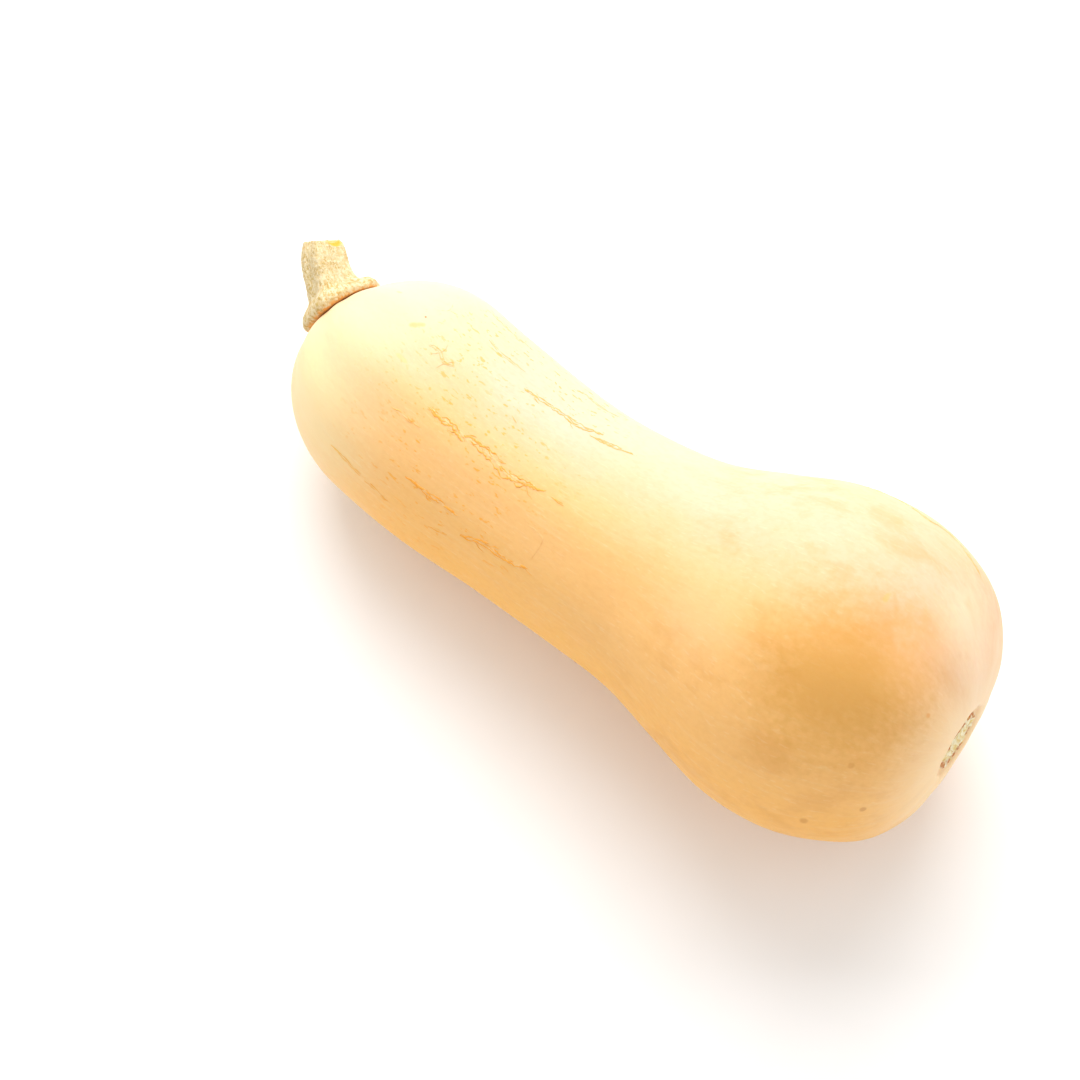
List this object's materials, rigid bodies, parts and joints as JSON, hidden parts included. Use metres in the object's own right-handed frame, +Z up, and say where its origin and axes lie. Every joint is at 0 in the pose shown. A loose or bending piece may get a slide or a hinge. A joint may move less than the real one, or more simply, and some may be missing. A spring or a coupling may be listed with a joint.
{
  "type": "butternut squash",
  "caption": "Whole butternut squash lying on its side, with a long neck, a round bulb, a cut woody stem and a corky blossom scar.",
  "frame": {"origin": "centre of the bounding box's bottom face, on the surface that the squash rests on", "axes": "+X from the stem end towards the blossom end, +Y to the side that the stem leans to, +Z up"},
  "size_m": [0.2986, 0.1206, 0.1197],
  "materials": {
    "rind": "smooth waxy tan rind, satin",
    "stem_wood": "dry ridged woody stem, matt",
    "cork": "rough dry cork, matt"
  },
  "bodies": {
    "root": {"fruit": "rind", "stem": "stem_wood", "blossom_scar": "cork"}
  },
  "joints": []
}
